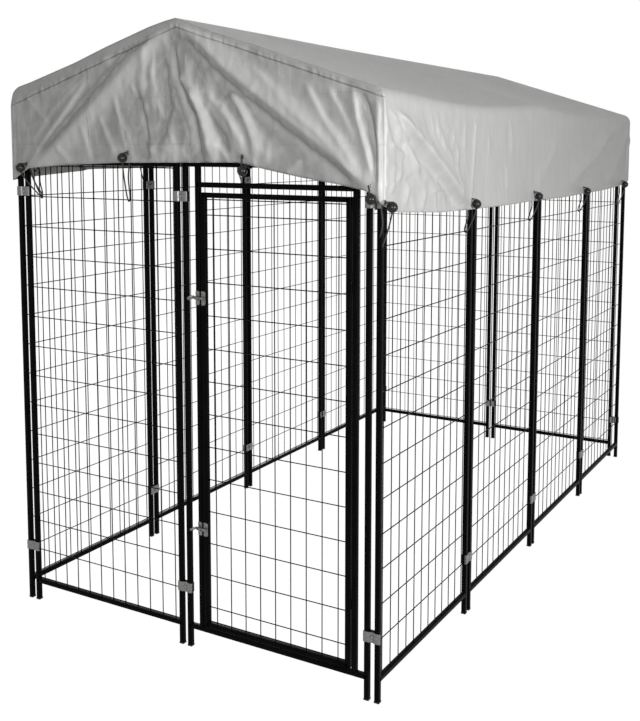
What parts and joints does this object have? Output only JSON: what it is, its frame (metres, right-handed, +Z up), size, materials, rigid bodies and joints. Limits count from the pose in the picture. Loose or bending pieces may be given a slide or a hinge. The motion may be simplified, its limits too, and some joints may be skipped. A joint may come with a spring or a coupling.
{
  "type": "chicken run",
  "caption": "Long walk-in poultry run of black welded-wire panels clamped together, with a hinged latched door and a silver gabled rain cover on hoops.",
  "frame": {"origin": "on the ground under the middle of the run", "axes": "+Z up, -Y out of the front, where the door is, +X to the right seen from the front"},
  "size_m": [1.4002, 2.6435, 1.912],
  "materials": {
    "black_powder_coat": "satin black powder coat on steel tube and wire",
    "zinc_plate": "bright zinc plate, slightly dull",
    "silver_cloth": "silver-coated woven polyethylene sheet with soft creases",
    "black_plastic": "moulded black plastic"
  },
  "bodies": {
    "run": {"clamp_back_left_lower": "zinc_plate", "clamp_back_left_upper": "zinc_plate", "clamp_back_middle_lower": "zinc_plate", "clamp_back_middle_upper": "zinc_plate", "clamp_back_right_lower": "zinc_plate", "clamp_back_right_upper": "zinc_plate", "clamp_front_left_lower": "zinc_plate", "clamp_front_left_upper": "zinc_plate", "clamp_front_middle_lower": "zinc_plate", "clamp_front_middle_upper": "zinc_plate", "clamp_front_right_lower": "zinc_plate", "clamp_front_right_upper": "zinc_plate", "clamp_left_1_lower": "zinc_plate", "clamp_left_1_upper": "zinc_plate", "clamp_left_2_lower": "zinc_plate", "clamp_left_2_upper": "zinc_plate", "clamp_left_3_lower": "zinc_plate", "clamp_left_3_upper": "zinc_plate", "clamp_right_1_lower": "zinc_plate", "clamp_right_1_upper": "zinc_plate", "clamp_right_2_lower": "zinc_plate", "clamp_right_2_upper": "zinc_plate", "clamp_right_3_lower": "zinc_plate", "clamp_right_3_upper": "zinc_plate", "cover_end_back": "silver_cloth", "cover_end_front": "silver_cloth", "cover_roof_left": "silver_cloth", "cover_roof_right": "silver_cloth", "cover_skirt_left": "silver_cloth", "cover_skirt_right": "silver_cloth", "door_panel_frame": "black_powder_coat", "hinge_pin_lower": "zinc_plate", "hinge_pin_upper": "zinc_plate", "latch_guide_lower": "zinc_plate", "latch_guide_upper": "zinc_plate", "panel_back_left": "black_powder_coat", "panel_back_right": "black_powder_coat", "panel_front_left": "black_powder_coat", "panel_left_1": "black_powder_coat", "panel_left_2": "black_powder_coat", "panel_left_3": "black_powder_coat", "panel_left_4": "black_powder_coat", "panel_right_1": "black_powder_coat", "panel_right_2": "black_powder_coat", "panel_right_3": "black_powder_coat", "panel_right_4": "black_powder_coat", "ridge_pole_front": "black_powder_coat", "ridge_pole_rear": "black_powder_coat", "ridge_saddle_front": "black_plastic", "ridge_saddle_middle": "black_plastic", "ridge_saddle_rear": "black_plastic", "roof_hoop_front": "black_powder_coat", "roof_hoop_middle": "black_powder_coat", "roof_hoop_rear": "black_powder_coat"},
    "door": {"door": "black_powder_coat", "latch_keeper_lower": "zinc_plate", "latch_keeper_upper": "zinc_plate"},
    "latch_lower": {"latch_bolt_lower": "zinc_plate"},
    "latch_upper": {"latch_bolt_upper": "zinc_plate"}
  },
  "joints": [
    {"name": "door_swing", "type": "hinge", "parent": "run", "child": "door", "pos_m": [0.58625, -1.2975, 0.731], "axis": [0, 0, 1], "range_deg": [0, 110]},
    {"name": "latch_lower_slide", "type": "slide", "parent": "run", "child": "latch_lower", "axis": [-1, 0, 0], "range_m": [0, 0.024]},
    {"name": "latch_upper_slide", "type": "slide", "parent": "run", "child": "latch_upper", "axis": [-1, 0, 0], "range_m": [0, 0.024]}
  ]
}
